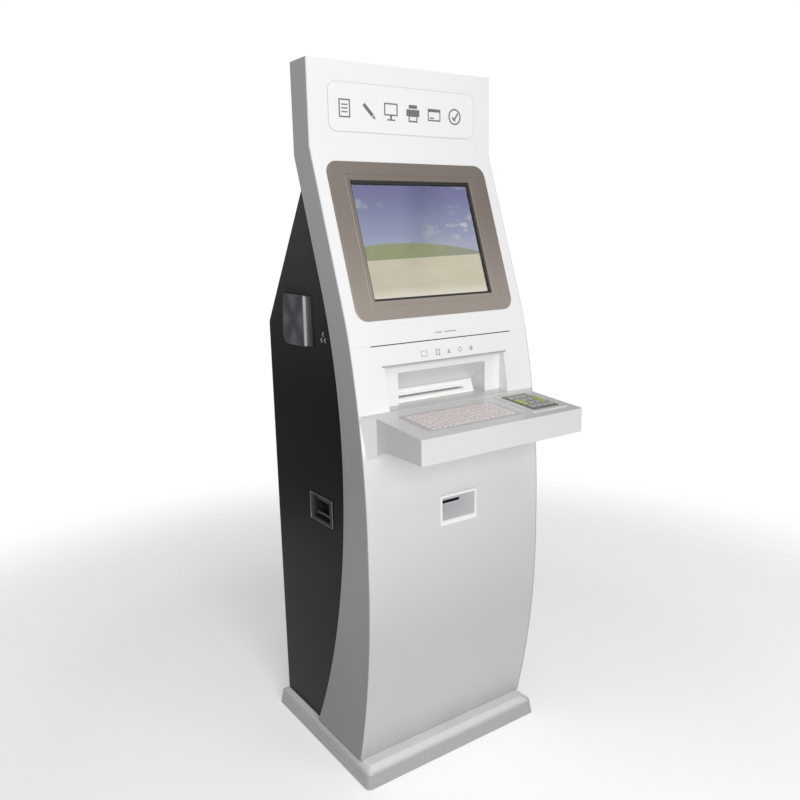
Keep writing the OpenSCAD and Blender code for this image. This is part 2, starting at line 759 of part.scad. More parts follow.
module pin_key(c, r, w, h) {
    on_shelf() translate([pin_x(c) - w/2, pin_y(r) - h/2, pin_top - 6.5]) cube([w, h, 9]);
}
module pin_row(r, cols) {
    color([0.82, 0.83, 0.83]) for (c = cols) pin_key(c, r, pin_w, pin_h);
}
module pin_function(c) {
    color([0.72, 0.76, 0.25]) pin_key(c, 2.5, pin_w, pin_h + pin_py);
}

// ---- Left side fittings ----
reader_y = [0, 115];
reader_z = [1058, 1182];
module card_reader() {
    x = -side_x;
    color(dark) difference() {
        union() {
            along_x(x - 12, x) polygon(concat([[reader_y[0], reader_z[0]]],
                arc([reader_y[1] - 22, reader_z[0] + 22], 22, 270, 360, 6),
                [[reader_y[1] - 8, reader_z[1]], [reader_y[0], reader_z[1]]]));
            block(x - 5.5, x, -17.5, reader_y[0], reader_z[0] + 2, reader_z[1] - 2);
            block(x, x + 22, 12, 88, 1082, 1158);
        }
        block(x - 6, x - 0.8, -3, reader_y[0] - 0.8, reader_z[0] - 5, reader_z[1] + 5);
    }
}
grip_x = -side_x + 8;
grip_z = 676;
grip_pin = 2.5;
cup_in = 28;
module side_handle_cup() {
    x = -side_x;
    mid = [(handle_y[0] + handle_y[1])/2, (handle_z[0] + handle_z[1])/2];
    color([0.32, 0.32, 0.33]) difference() {
        union() {
            along_x(x - 1.8, x) translate(mid) round_rect(110, 70, 3);
            block(x, x + cup_in, handle_y[0] + 5.5, handle_y[1] - 5.5, handle_z[0] + 5.5, handle_z[1] - 5.5);
        }
        block(x - 5, x + cup_in - 2, handle_y[0] + 15, handle_y[1] - 15, handle_z[0] + 8, handle_z[1] - 8);
        translate([grip_x, handle_y[0] + 9, grip_z]) rotate([-90, 0, 0])
            cylinder(r = grip_pin + 0.05, h = 92);
    }
}
module side_handle_grip() {
    y0 = handle_y[0] + 16;
    y1 = handle_y[1] - 16;
    color(steel) {
        translate([grip_x, y0 - 6, grip_z]) rotate([-90, 0, 0]) cylinder(r = grip_pin, h = y1 - y0 + 12);
        for (y = [y0, y1 - 5]) block(grip_x - 2.5, grip_x + 2.5, y, y + 5, grip_z - 36, grip_z);
        translate([grip_x, y0, grip_z - 36]) rotate([-90, 0, 0]) cylinder(r = 4, h = y1 - y0);
    }
}

// ---- Inside ----
module computer() {
    color([0.42, 0.43, 0.45]) difference() {
        block(-225, -55, -120, 130, plinth_h + sheet, 410);
        block(-223, -57, -118, 128, plinth_h + 2*sheet, 408);
        for (i = [0:9]) block(-205, -75, 125, 140, 100 + 12*i, 106 + 12*i);
    }
}
rocker_x = inlet[0] + 31;
rocker_pin = 1.2;
module power_inlet() {
    z = inlet[1];
    color(dark) difference() {
        union() {
            block(inlet[0] - 32, inlet[0] + 50, rear_y, rear_y + 2, z - 20, z + 20);
            block(inlet[0] - 23, inlet[0] + 41.5, rear_y - 36, rear_y, z - 14.5, z + 14.5);
        }
        block(inlet[0] - 12.2, inlet[0] + 12.2, rear_y - 17, rear_y + 5, z - 8.5, z + 8.5);
        block(rocker_x - 7, rocker_x + 7, rear_y - 12, rear_y + 5, z - 11, z + 11);
        translate([rocker_x - 9, rear_y - 2, z]) rotate([0, 90, 0]) cylinder(r = rocker_pin + 0.05, h = 18);
    }
    color(steel) for (x = [-7, 0, 7]) block(inlet[0] + x - 1, inlet[0] + x + 1, rear_y - 17, rear_y - 3,
        z - (x == 0 ? -1 : 4), z + (x == 0 ? 5 : 0));
}
rocker_tilt = 10;
module power_rocker() {
    color([0.7, 0.1, 0.1]) translate([0, rear_y - 2, inlet[1]]) rotate([rocker_tilt, 0, 0])
        along_x(rocker_x - 6.2, rocker_x + 6.2)
        polygon([[-4, -8.5], [5.5, -9], [2.5, 0], [5.5, 9], [-4, 8.5]]);
    color([0.7, 0.1, 0.1]) translate([rocker_x - 8.5, rear_y - 2, inlet[1]]) rotate([0, 90, 0])
        cylinder(r = rocker_pin, h = 17);
}
shaft_r = 3;
module cooling_fan() {
    color(dark) translate([0, door_y, fan_z]) rotate([90, 0, 0]) {
        difference() {
            translate([0, 0, 12.75]) cube([120, 120, 25.5], center = true);
            translate([0, 0, -1]) cylinder(r = 57, h = 30);
        }
        difference() {
            union() {
                translate([0, 0, 17.5]) cylinder(r = 20, h = 8);
                for (a = [45:90:315]) rotate(a) translate([18, -3, 21.5]) cube([41, 6, 4]);
            }
            translate([0, 0, 16]) cylinder(r = shaft_r + 0.05, h = 6);
        }
    }
}
module fan_rotor() {
    color([0.16, 0.16, 0.17]) translate([0, door_y, fan_z]) rotate([90, 0, 0]) {
        translate([0, 0, 3]) cylinder(r = 20, h = 14);
        translate([0, 0, 16.9]) cylinder(r = shaft_r, h = 4.6);
        for (a = [0:360/7:359]) rotate(a) translate([36, 0, 10]) rotate([35, 0, 0])
            cube([38, 18, 1.6], center = true);
    }
}

plinth();
base_plate();
cabinet_floor();
inner_frame();
left_side_panel();
right_side_panel();
left_side_band();
right_side_band();
upper_fascia();
middle_fascia();
lower_front_panel();
header_cover();
rear_slope_panel();
rear_frame();
rear_door();
door_hinges();
door_lock();
panel_screws();
sign_panel();
sign_pictograms();
fascia_marks();
screen_bezel();
screen_gasket();
touch_glass();
lcd_panel();
lcd_module();
recess_panel();
niche_liner();
landing_plate();
printer_bezel();
document_printer();
receipt_bezel();
receipt_printer();
paper_roll();
shelf_shell();
shelf_floor();
keyboard_plate();
key_row(1);  // key_row_1
key_row(2);  // key_row_2
key_row(3);  // key_row_3
key_row(4);  // key_row_4
key_row(5);  // key_row_5
key_row(6);  // key_row_6
space_bar();
pin_pad_surround();
pin_pad_body();
pin_row(1, [0:3]);  // pin_row_1
pin_row(2, [1, 2]);  // pin_row_2
pin_row(3, [1, 2]);  // pin_row_3
pin_row(4, [0:3]);  // pin_row_4
pin_function(0);  // pin_key_cancel
pin_function(3);  // pin_key_enter
card_reader();
side_handle_cup();
side_handle_grip();
computer();
power_inlet();
power_rocker();
cooling_fan();
fan_rotor();
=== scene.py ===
"""Looks of a self-service form-filling and printing terminal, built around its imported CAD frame."""

import json
import math

import bmesh
import bpy
from mathutils import Matrix, Vector

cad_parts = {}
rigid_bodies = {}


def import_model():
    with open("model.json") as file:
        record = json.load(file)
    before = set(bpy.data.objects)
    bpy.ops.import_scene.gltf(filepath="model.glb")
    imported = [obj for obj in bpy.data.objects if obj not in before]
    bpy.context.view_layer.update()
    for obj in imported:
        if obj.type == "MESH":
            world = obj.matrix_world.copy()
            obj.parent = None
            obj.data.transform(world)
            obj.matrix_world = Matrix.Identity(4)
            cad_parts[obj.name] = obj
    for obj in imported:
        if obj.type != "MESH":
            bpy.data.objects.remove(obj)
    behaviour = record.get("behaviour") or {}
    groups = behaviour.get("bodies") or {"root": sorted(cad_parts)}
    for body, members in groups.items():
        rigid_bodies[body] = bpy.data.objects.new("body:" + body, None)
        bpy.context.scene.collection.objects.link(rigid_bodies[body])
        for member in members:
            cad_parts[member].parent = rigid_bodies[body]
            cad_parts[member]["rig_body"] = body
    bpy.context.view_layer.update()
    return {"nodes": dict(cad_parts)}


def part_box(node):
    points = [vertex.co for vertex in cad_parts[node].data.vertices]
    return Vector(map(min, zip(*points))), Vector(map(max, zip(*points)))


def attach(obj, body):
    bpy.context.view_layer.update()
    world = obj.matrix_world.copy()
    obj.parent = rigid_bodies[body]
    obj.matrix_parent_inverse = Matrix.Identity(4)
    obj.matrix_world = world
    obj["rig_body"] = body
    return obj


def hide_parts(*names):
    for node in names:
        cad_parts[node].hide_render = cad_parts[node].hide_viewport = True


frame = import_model()

# Outlines below are in millimetres, in the frame's axes; meshes are made in metres.
MM = 0.001
CABINET = "cabinet"


def low(node):
    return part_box(node)[0] / MM


def high(node):
    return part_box(node)[1] / MM


# ---- Sizes, from the frame where a node's box gives them ----
band_x = high("right_side_band").x
side_x = high("right_side_panel").x
total_h = high("upper_fascia").z
plinth_h = high("plinth").z
plinth_w = 2 * high("plinth").x
plinth_d = 2 * high("plinth").y
front_y = low("lower_front_panel").y
shelf_front = low("shelf_shell").y
sheet = 2.0
skin_x = band_x - sheet
fascia_z = low("upper_fascia").z
panel_z = high("lower_front_panel").z

foot_r = 2000.0
waist_r = 2060.0
bend_r = 800.0
slope = math.radians(18.8)
header_y = -57.0
header_back = 16.0
straight = (555.0, 630.0)
bend_z = 1060.0
screen_z = 1305.5
shelf_top_z = 910.0
shelf_low_z = 854.0
shelf_tilt = math.radians(5)


# ---- The front's and the bands' side view ----
def arc_y(centre, radius, z):
    """y of the foremost side of a circle at height z."""
    return centre[0] - math.sqrt(radius**2 - (z - centre[1]) ** 2)


foot_c = (front_y + foot_r, straight[0])
waist_c = (front_y + waist_r, straight[1])
bend_a = math.asin((bend_z - straight[1]) / waist_r)
bend_gap = waist_r - bend_r
bend_c = (waist_c[0] - bend_gap * math.cos(bend_a), waist_c[1] + bend_gap * math.sin(bend_a))
slope_foot = (bend_c[0] - bend_r * math.cos(slope), bend_c[1] + bend_r * math.sin(slope))
kink_z = slope_foot[1] + (header_y - slope_foot[0]) / math.tan(slope)

band_waist = (-152.0, 790.0)
band_low_r = 1640.0
band_top_r = 1300.0
band_low_c = (band_waist[0] + band_low_r, band_waist[1])
band_top_c = (band_waist[0] + band_top_r, band_waist[1])
band_end = (band_top_c[0] - band_top_r * math.cos(slope), band_top_c[1] + band_top_r * math.sin(slope))
band_kink_z = band_end[1] + (header_back - band_end[0]) / math.tan(slope)


def front_at(z):
    """y of the front skin's outer face at height z."""
    if z < straight[0]:
        return arc_y(foot_c, foot_r, z)
    if z < straight[1]:
        return front_y
    if z < bend_z:
        return arc_y(waist_c, waist_r, z)
    if z < slope_foot[1]:
        return arc_y(bend_c, bend_r, z)
    return min(header_y, slope_foot[0] + (z - slope_foot[1]) * math.tan(slope))


def band_rear_at(z):
    """y of the side bands' rear edge at height z."""
    if z < band_waist[1]:
        return arc_y(band_low_c, band_low_r, z)
    if z < band_end[1]:
        return arc_y(band_top_c, band_top_r, z)
    return min(header_back, band_end[0] + (z - band_end[1]) * math.tan(slope))


def inwards(curve, z, depth):
    """The point depth behind a curve's point at height z, square to the curve, as (y, z)."""
    lean = curve(z + 0.5) - curve(z - 0.5)
    size = math.hypot(1, lean)
    return curve(z) + depth / size, z - depth * lean / size


def heights(z0, z1, step, extra=()):
    """Row heights from z0 to z1, with the extra ones that lie between."""
    count = max(1, round((z1 - z0) / step))
    rows = {round(z0 + (z1 - z0) * i / count, 4) for i in range(count + 1)}
    for z in extra:
        if z0 < z < z1:
            rows = {row for row in rows if abs(row - z) > step / 3 or row in (z0, z1)} | {z}
    return sorted(rows)


# ---- Local frames: x across, y up the surface, z out of it ----
def tilted(y, z, angle):
    return Matrix.Translation((0, y, z)) @ Matrix.Rotation(angle, 4, "X")


UPRIGHT = Matrix.Identity(4)
SLOPE = tilted(front_at(screen_z), screen_z, math.pi / 2 - slope)
SHELF = tilted(shelf_front, shelf_top_z, shelf_tilt)
ALONG_X = Matrix(((0, 0, 1, 0), (1, 0, 0, 0), (0, 1, 0, 0), (0, 0, 0, 1)))
ALONG_Y = Matrix(((1, 0, 0, 0), (0, 0, 1, 0), (0, 1, 0, 0), (0, 0, 0, 1)))
LEFT_SIDE = Matrix(((0, 0, -1, -side_x), (-1, 0, 0, 0), (0, 1, 0, 0), (0, 0, 0, 1)))


def on_waist(z):
    return tilted(front_at(z), z, math.pi / 2 - math.asin((z - straight[1]) / waist_r))


# ---- Outlines ----
def arc(cx, cy, radius, start, end, count):
    """Points along an arc, in degrees."""
    angles = [math.radians(start + (end - start) * i / count) for i in range(count + 1)]
    return [(cx + radius * math.cos(a), cy + radius * math.sin(a)) for a in angles]


def rounded(w, h, radius, count=6, cx=0.0, cy=0.0):
    """A rectangle with round corners."""
    x, y = w / 2 - radius, h / 2 - radius
    corners = [(x, y, 0), (-x, y, 90), (-x, -y, 180), (x, -y, 270)]
    return [p for px, py, a in corners for p in arc(cx + px, cy + py, radius, a, a + 90, count)]


def circle(radius, count):
    turns = [2 * math.pi * i / count for i in range(count)]
    return [(radius * math.cos(a), radius * math.sin(a)) for a in turns]


class Solid:
    """Points in millimetres and faces that a piece's mesh is made from."""

    def __init__(self):
        self.points = []
        self.faces = []

    def add(self, points, faces, place=UPRIGHT):
        start = len(self.points)
        self.points += [place @ Vector(p) for p in points]
        self.faces += [[start + i for i in face] for face in faces]
        return self

    def loft(self, loops, place=UPRIGHT, ring=False):
        """Joins loops of equal length; ring also joins the last to the first."""
        size, count = len(loops[0]), len(loops)
        faces = []
        for j in range(count if ring else count - 1):
            a, b = j * size, (j + 1) % count * size
            faces += [(a + i, a + (i + 1) % size, b + (i + 1) % size, b + i) for i in range(size)]
        if not ring:
            faces += [range(size - 1, -1, -1), range((count - 1) * size, count * size)]
        return self.add([p for loop in loops for p in loop], faces, place)

    def prism(self, outline, z0, z1, place=UPRIGHT):
        return self.loft([[(x, y, z) for x, y in outline] for z in (z0, z1)], place)

    def box(self, x0, x1, y0, y1, z0, z1, place=UPRIGHT):
        return self.prism([(x0, y0), (x1, y0), (x1, y1), (x0, y1)], z0, z1, place)


# ---- Making meshes ----
def mesh_object(name, solid):
    mesh = bpy.data.meshes.new(name)
    mesh.from_pydata([p * MM for p in solid.points], [], [list(f) for f in solid.faces])
    tidy_mesh(mesh)
    obj = bpy.data.objects.new(name, mesh)
    bpy.context.scene.collection.objects.link(obj)
    return obj


def tidy_mesh(mesh, dissolve=False):
    work = bmesh.new()
    work.from_mesh(mesh)
    bmesh.ops.remove_doubles(work, verts=work.verts, dist=0.00001)
    if dissolve:
        flat = math.radians(0.4)
        bmesh.ops.dissolve_limit(work, angle_limit=flat, verts=work.verts, edges=work.edges)
    bmesh.ops.recalc_face_normals(work, faces=work.faces)
    work.to_mesh(mesh)
    work.free()


def bake(obj):
    """Applies an object's modifiers."""
    depsgraph = bpy.context.evaluated_depsgraph_get()
    mesh = bpy.data.meshes.new_from_object(obj.evaluated_get(depsgraph))
    obj.modifiers.clear()
    obj.data = mesh


def carve(obj, solid, operation="DIFFERENCE"):
    tool = mesh_object("tool", solid)
    change = obj.modifiers.new("carve", "BOOLEAN")
    change.operation = operation
    change.solver = "EXACT"
    change.object = tool
    bake(obj)
    bpy.data.objects.remove(tool)


def round_edges(obj, width, segments=2, limit=15):
    change = obj.modifiers.new("round", "BEVEL")
    change.width = width * MM
    change.segments = segments
    change.limit_method = "ANGLE"
    change.angle_limit = math.radians(limit)
    bake(obj)


def smooth(obj, angle=40):
    obj.data.shade_smooth()
    obj.data.set_sharp_from_angle(angle=math.radians(angle))
    even = obj.modifiers.new("even", "WEIGHTED_NORMAL")
    even.keep_sharp = True


def present(obj, finish, body=CABINET, nodes=()):
    """Gives a piece its material and its body, and hides the CAD nodes that it stands for."""
    obj.data.materials.clear()
    obj.data.materials.append(finish)
    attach(obj, body)
    if nodes:
        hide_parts(*nodes)
    return obj


def piece(name, solid, finish, body=CABINET, nodes=(), cuts=(), edge=0.0, segments=2, angle=40):
    """A piece from a solid, less its cuts, with rounded edges."""
    obj = mesh_object(name, solid)
    for cut in cuts:
        carve(obj, cut)
    if edge:
        round_edges(obj, edge, segments)
    smooth(obj, angle)
    return present(obj, finish, body, nodes)


def refined(node, finish, edge=0.5, segments=2, angle=40):
    """A CAD node's own shape with its edges rounded, as a new piece on the same body."""
    source = frame["nodes"][node]
    mesh = source.data.copy()
    if "custom_normal" in mesh.attributes:
        mesh.attributes.remove(mesh.attributes["custom_normal"])
    tidy_mesh(mesh, dissolve=True)
    obj = bpy.data.objects.new(node + "_finish", mesh)
    bpy.context.scene.collection.objects.link(obj)
    if edge:
        round_edges(obj, edge, segments)
    smooth(obj, angle)
    return present(obj, finish, source["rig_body"], [node])


# ---- Materials ----
class Finish:
    """A principled material and short calls for its nodes."""

    def __init__(self, name, roughness=0.4, metallic=0.0, **sockets):
        self.material = bpy.data.materials.new(name)
        self.material.use_nodes = True
        self.tree = self.material.node_tree
        self.shader = self.tree.nodes["Principled BSDF"]
        self.shader.inputs["Roughness"].default_value = roughness
        self.shader.inputs["Metallic"].default_value = metallic
        for socket, value in sockets.items():
            self.shader.inputs[socket.replace("_", " ")].default_value = value
        self.where = self.tree.nodes.new("ShaderNodeTexCoord").outputs["Object"]

    def node(self, kind, **settings):
        made = self.tree.nodes.new("ShaderNode" + kind)
        for key, value in settings.items():
            setattr(made, key, value)
        return made

    def put(self, socket, value):
        """Links a socket to a node's output, or sets its value."""
        if isinstance(value, bpy.types.NodeSocket):
            self.tree.links.new(value, socket)
        else:
            socket.default_value = value

    def set(self, name, value):
        self.put(self.shader.inputs[name], value)

    def scaled(self, scale, place=(0, 0, 0)):
        change = self.node("Mapping")
        self.put(change.inputs["Vector"], self.where)
        change.inputs["Scale"].default_value = scale
        change.inputs["Location"].default_value = place
        return change.outputs["Vector"]

    def noise(self, scale, detail=3.0, where=None, roughness=0.5):
        made = self.node("TexNoise")
        self.put(made.inputs["Vector"], self.where if where is None else where)
        made.inputs["Scale"].default_value = scale
        made.inputs["Detail"].default_value = detail
        made.inputs["Roughness"].default_value = roughness
        return made.outputs["Fac"]

    def axis(self, name):
        made = self.node("SeparateXYZ")
        self.put(made.inputs[0], self.where)
        return made.outputs[name]

    def math(self, operation, a, b=0.0, c=0.0):
        """One step of arithmetic on sockets or numbers."""
        made = self.node("Math", operation=operation)
        for socket, value in zip(made.inputs, (a, b, c)):
            self.put(socket, value)
        return made.outputs[0]

    def span(self, value, low_in, high_in, low_out=0.0, high_out=1.0, kind="SMOOTHSTEP"):
        """Maps a value's range to another, held at its ends."""
        made = self.node("MapRange", interpolation_type=kind)
        for socket, given in zip(made.inputs, (value, low_in, high_in, low_out, high_out)):
            self.put(socket, given)
        return made.outputs[0]

    def blend(self, share, a, b):
        """Mixes two colours, given as triples or as sockets."""
        made = self.node("Mix", data_type="RGBA", blend_type="MIX")
        colours = [s for s in made.inputs if s.type == "RGBA"]
        self.put(made.inputs["Factor"], share)
        for socket, value in zip(colours, (a, b)):
            self.put(socket, (*value, 1.0) if isinstance(value, tuple) else value)
        return [s for s in made.outputs if s.type == "RGBA"][0]

    def bump(self, height, strength, distance):
        made = self.node("Bump")
        made.inputs["Strength"].default_value = strength
        made.inputs["Distance"].default_value = distance
        self.put(made.inputs["Height"], height)
        self.set("Normal", made.outputs["Normal"])


def shade(colour, factor):
    return tuple(c * factor for c in colour)


def paint(name, colour, roughness=0.35, metallic=0.0, coat=0.0, peel=0.12, lower=None, dust=0.25,
          grade=(0.05, 0.90), specular=0.5):
    """Sprayed paint: faint cloudiness, orange peel, smudged gloss and some dust near the floor.
    lower is the colour that it grades to between the grade's heights, in metres; that grade is painted light
    and shade, lighter or darker by height for how light falls."""
    m = Finish(name, roughness, metallic, Coat_Weight=coat, Coat_Roughness=0.12, Specular_IOR_Level=specular)
    cloud = m.noise(2.6, 3)
    smudge = m.noise(9.0, 4, m.scaled((1, 1, 0.45)))
    grain = m.noise(2600, 1)
    base = m.blend(cloud, shade(colour, 0.97), shade(colour, 1.03))
    # Painted light and shade: the colour grades to lower by height.
    if lower:
        foot = m.blend(cloud, shade(lower, 0.97), shade(lower, 1.03))
        base = m.blend(m.span(m.axis("Z"), *grade), foot, base)
    base = m.blend(m.math("MULTIPLY", m.span(grain, 0.35, 0.65), 0.06), base, shade(colour, 0.8))
    settled = m.math("MULTIPLY", m.span(m.axis("Z"), 0.16, 0.0), m.span(smudge, 0.35, 0.7))
    base = m.blend(m.math("MULTIPLY", settled, dust), base, (0.30, 0.28, 0.25))
    m.set("Base Color", base)
    m.set("Roughness", m.span(smudge, 0.25, 0.8, roughness - 0.05, roughness + 0.07))
    m.bump(m.noise(420, 2), peel, 0.00006)
    return m.material


def brushed(name, colour, roughness=0.3, along="X", stretch=60.0, metallic=1.0):
    """Brushed metal, its lines along one axis."""
    m = Finish(name, roughness, metallic, Anisotropic=0.5)
    scale = {"X": (1, stretch, stretch), "Y": (stretch, 1, stretch), "Z": (stretch, stretch, 1)}[along]
    lines = m.noise(14, 4, m.scaled(scale), 0.7)
    cloud = m.noise(6, 3)
    base = m.blend(lines, shade(colour, 0.88), shade(colour, 1.06))
    base = m.blend(m.math("MULTIPLY", cloud, 0.15), base, shade(colour, 0.7))
    m.set("Base Color", base)
    m.set("Roughness", m.span(lines, 0.3, 0.7, roughness - 0.07, roughness + 0.09))
    m.bump(lines, 0.12, 0.00004)
    return m.material


def plastic(name, colour, roughness=0.45, grain=0.25, size=900.0, coat=0.0, spread=0.06):
    """Moulded plastic with a spark-eroded grain and slightly worn gloss."""
    m = Finish(name, roughness, 0.0, Coat_Weight=coat, Coat_Roughness=0.1)
    cloud = m.noise(22, 3)
    fine = m.noise(size, 2)
    base = m.blend(cloud, shade(colour, 1 - spread), shade(colour, 1 + spread))
    m.set("Base Color", base)
    m.set("Roughness", m.span(cloud, 0.3, 0.7, roughness - 0.05, roughness + 0.06))
    m.bump(fine, grain, 0.00005)
    return m.material


def outlet_plastic():
    """The receipt outlet's moulding: a white rim around a chute painted greyer, as painted shade inside the
    outlet.
    """
    m = Finish("receipt_outlet", 0.42)
    inside = m.span(m.axis("Y"), (front_y + 0.2) * MM, (front_y + 1.2) * MM)
    rim = m.blend(m.noise(22, 3), (0.76, 0.77, 0.76), (0.80, 0.81, 0.80))
    # The chute's grey is painted shade inside the outlet.
    shaded_chute = m.blend(m.noise(22, 3), (0.47, 0.47, 0.49), (0.53, 0.53, 0.55))
    m.set("Base Color", m.blend(inside, rim, shaded_chute))
    m.bump(m.noise(900, 2), 0.05, 0.00005)
    return m.material


def zinc(name):
    """Zinc-plated sheet with its pale spangle."""
    m = Finish(name, 0.38, 0.9)
    cells = m.node("TexVoronoi")
    m.put(cells.inputs["Vector"], m.where)
    cells.inputs["Scale"].default_value = 120
    tone = m.span(cells.outputs["Distance"], 0.0, 0.7)
    m.set("Base Color", m.blend(tone, (0.60, 0.61, 0.64), (0.46, 0.47, 0.49)))
    m.set("Roughness", m.span(m.noise(40, 3), 0.3, 0.7, 0.30, 0.48))
    m.bump(cells.outputs["Distance"], 0.06, 0.0001)
    return m.material


def picture():
    """The lit display: a plain sky with clouds over a low green hill and a pale sand foreground."""
    m = Finish("display_picture", 0.25)
    across = m.math("MULTIPLY", m.axis("X"), 1 / (high("lcd_panel").x * MM))
    up = m.span(m.axis("Z"), low("lcd_panel").z * MM, high("lcd_panel").z * MM, 0.0, 1.0, "LINEAR")
    sky = m.blend(m.span(up, 0.45, 1.0), (0.34, 0.37, 0.52), (0.19, 0.19, 0.36))
    drift = m.noise(15, 6, m.scaled((1, 0.4, 2.4), (0.31, 0, 0.13)), 0.6)
    high_cloud = m.math("MULTIPLY", m.span(drift, 0.55, 0.74), 0.55)
    sky = m.blend(high_cloud, sky, (0.55, 0.58, 0.60))
    puffs = m.noise(24, 5, m.scaled((1, 0.4, 2.0), (0.12, 0, 0.47)), 0.6)
    right = m.span(across, -0.3, 0.7)
    belt = m.math("MULTIPLY", m.span(up, 0.45, 0.58), m.span(up, 0.80, 0.62))
    puff = m.math("MULTIPLY", m.math("MULTIPLY", m.span(puffs, 0.50, 0.62), belt), right)
    sky = m.blend(m.math("MULTIPLY", puff, 0.85), sky, (0.60, 0.60, 0.55))
    haze = m.span(up, 0.58, 0.42)
    sky = m.blend(m.math("MULTIPLY", haze, 0.6), sky, (0.46, 0.48, 0.56))
    crest = m.math("MULTIPLY_ADD", m.math("POWER", m.math("ADD", across, 0.35), 2.0), -0.055, 0.475)
    crest = m.math("ADD", crest, m.math("MULTIPLY", m.noise(60, 2), 0.012))
    turf = m.blend(m.noise(70, 4, m.scaled((1, 1, 3))), (0.27, 0.32, 0.16), (0.38, 0.40, 0.24))
    turf = m.blend(m.span(across, 0.0, 1.0), turf, (0.33, 0.32, 0.27))
    land = m.span(m.math("SUBTRACT", crest, up), -0.004, 0.004)
    scene = m.blend(land, sky, turf)
    sand_noise = m.noise(18, 4, m.scaled((1, 1, 4)))
    sand = m.blend(sand_noise, (0.60, 0.54, 0.40), (0.70, 0.65, 0.51))
    sand = m.blend(m.span(up, 0.10, 0.0), sand, (0.78, 0.73, 0.62))
    shore = m.math("MULTIPLY_ADD", across, 0.012, 0.345)
    scene = m.blend(m.span(m.math("SUBTRACT", shore, up), -0.004, 0.004), scene, sand)
    m.set("Base Color", (0.01, 0.01, 0.012, 1.0))
    m.set("Emission Color", scene)
    m.set("Emission Strength", 0.90)
    return m.material


def clear_glass():
    m = Finish("screen_glass", 0.03, 0.0, Transmission_Weight=1.0, IOR=1.45)
    m.set("Base Color", m.blend(m.noise(4, 3), (0.92, 0.94, 0.95), (0.97, 0.98, 0.98)))
    m.set("Roughness", m.span(m.noise(12, 4), 0.4, 0.75, 0.02, 0.07))
    return m.material


def paper():
    m = Finish("receipt_paper", 0.8)
    layers = m.noise(900, 2, m.scaled((0.05, 1, 1)))
    m.set("Base Color", m.blend(layers, (0.80, 0.79, 0.75), (0.90, 0.90, 0.87)))
    m.bump(layers, 0.2, 0.00005)
    return m.material


def vinyl(name, colour):
    """Cut film: flat colour with a faint print texture."""
    m = Finish(name, 0.5)
    m.set("Base Color", m.blend(m.noise(160, 3), shade(colour, 0.9), shade(colour, 1.1)))
    m.bump(m.noise(900, 2), 0.05, 0.00003)
    return m.material


WHITE = (0.80, 0.80, 0.80)
# The colour that the white front grades to towards the floor: painted shade, not a second paint.
SHADED_WHITE = (0.58, 0.585, 0.58)
shell_white = paint("shell_white", WHITE, 0.36, 0.0, 0.1, 0.05, lower=SHADED_WHITE)
# The lower front grades to a darker grey towards the floor: painted shade.
front_silver = paint("front_silver", (0.74, 0.745, 0.74), 0.38, 0.15, 0.05, 0.05,
                     lower=(0.46, 0.46, 0.45), grade=(0.3, 0.88))
shelf_silver = paint("shelf_silver", (0.68, 0.68, 0.665), 0.34, 0.1, 0.1, 0.05)
# The plinth is painted much lighter above about 40 mm: a painted highlight on its top ledge, with its
# upright faces darker.
plinth_silver = paint("plinth_silver", (0.82, 0.82, 0.82), 0.30, 0.2, 0.3, 0.2,
                      lower=(0.34, 0.34, 0.345), dust=0.08, grade=(0.034, 0.042))
# The bands grade from mid grey at the top to near black at the floor: painted shade.
band_paint = paint("band_grey", (0.60, 0.60, 0.605), 0.36, 0.25, 0.1,
                   lower=(0.19, 0.19, 0.195), grade=(0.0, 1.7))
# The black sides are painted lighter above about 1.5 m and darker below 0.9 m: painted light on their upper
# part.
cabinet_black = paint("cabinet_black", (0.078, 0.078, 0.082), 0.22, 0.0, 0.0, 0.05,
                      lower=(0.010, 0.010, 0.011), dust=0.06, grade=(0.9, 1.5), specular=0.06)
rear_black = paint("rear_black", (0.045, 0.045, 0.048), 0.42, 0.0, 0.0, 0.3, dust=0.35)
sign_face = plastic("sign_face", (0.80, 0.80, 0.80), 0.42, 0.02, 400, 0.0, 0.02)
print_grey = vinyl("print_grey", (0.16, 0.155, 0.165))
small_print = vinyl("small_print", (0.42, 0.42, 0.44))
# The bezel is painted lighter below about 1.1 m and darker at its top: a painted reflection of the shelf
# below it.
bezel_taupe = paint("bezel_taupe", (0.215, 0.185, 0.158), 0.36, 0.25, 0.2, 0.08,
                    lower=(0.37, 0.325, 0.285), dust=0.0, grade=(1.10, 1.42))
gasket_rubber = plastic("gasket_rubber", (0.022, 0.022, 0.022), 0.7, 0.3, 1500)
liner_grey = paint("liner_grey", (0.66, 0.66, 0.67), 0.36, 0.0, 0.1, dust=0.0)
landing_grey = paint("landing_grey", (0.56, 0.55, 0.52), 0.22, 0.1, 0.3, dust=0.0)
outlet_white = plastic("outlet_white", (0.92, 0.92, 0.91), 0.4, 0.05, 900, 0.0, 0.02)
unit_grey = plastic("unit_grey", (0.045, 0.045, 0.05), 0.5, 0.4, 700)
keyboard_metal = brushed("keyboard_metal", (0.60, 0.595, 0.575), 0.34, "X", metallic=0.3)
